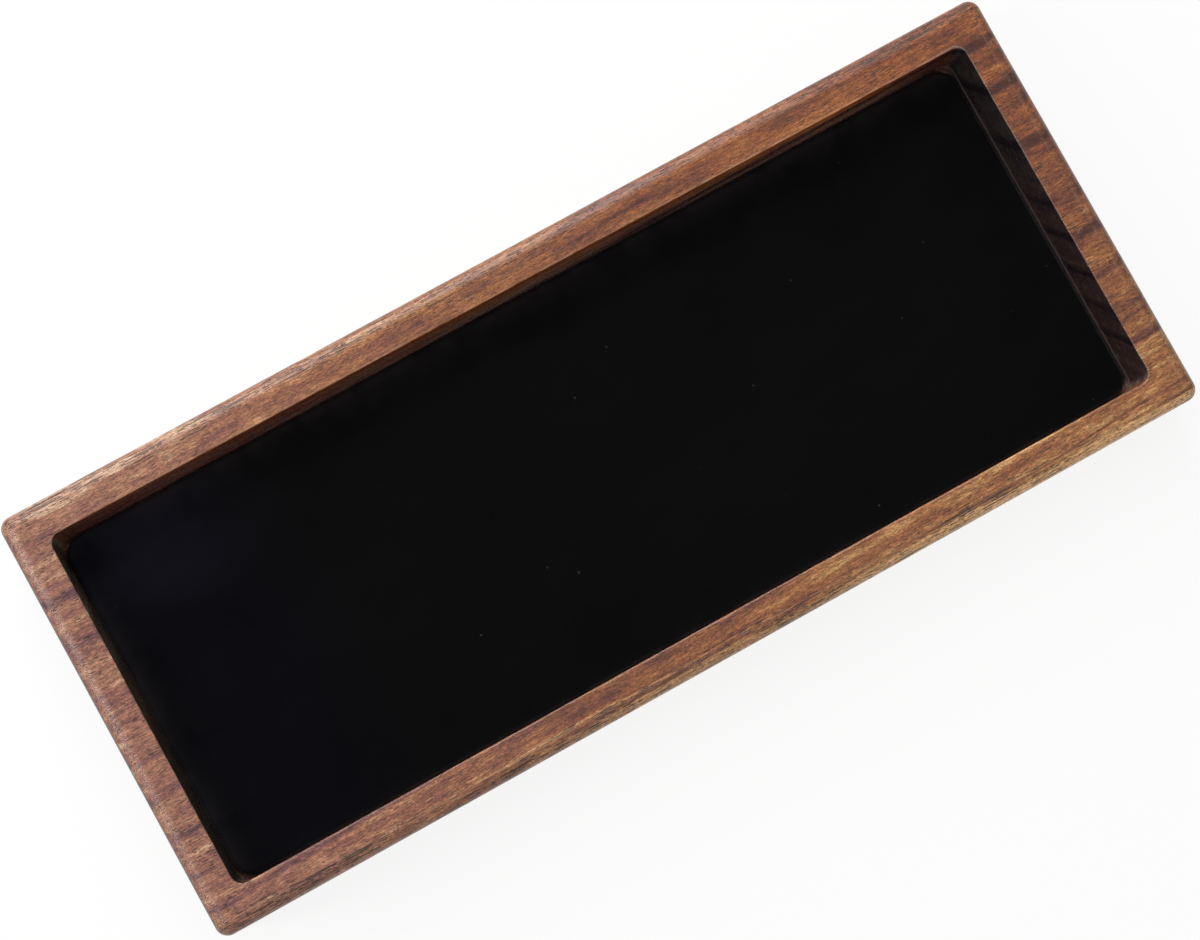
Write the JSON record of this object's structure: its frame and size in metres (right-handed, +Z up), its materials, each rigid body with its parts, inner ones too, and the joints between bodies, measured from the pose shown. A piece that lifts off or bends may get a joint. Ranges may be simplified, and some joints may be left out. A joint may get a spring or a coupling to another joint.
{
  "type": "desk tray",
  "caption": "Long open desk tray milled from one walnut block, with rounded edges and a black velvet-covered lining on the pocket floor.",
  "frame": {"origin": "under the centre of the tray, at the level of the feet's undersides", "axes": "+X along the long side, +Y towards the back long side, +Z up out of the pocket"},
  "size_m": [0.24, 0.1, 0.026],
  "materials": {
    "walnut": "oiled walnut, satin, grain along the tray",
    "velvet": "short black velvet pile",
    "grey_card": "uncoated grey card",
    "tape": "double-sided tissue tape",
    "foot_rubber": "matt black rubber"
  },
  "bodies": {
    "root": {"tray_body": "walnut", "velvet_lining": "velvet", "lining_board": "grey_card", "tape_front": "tape", "tape_back": "tape", "foot_front_left": "foot_rubber", "foot_front_right": "foot_rubber", "foot_back_left": "foot_rubber", "foot_back_right": "foot_rubber"}
  },
  "joints": []
}
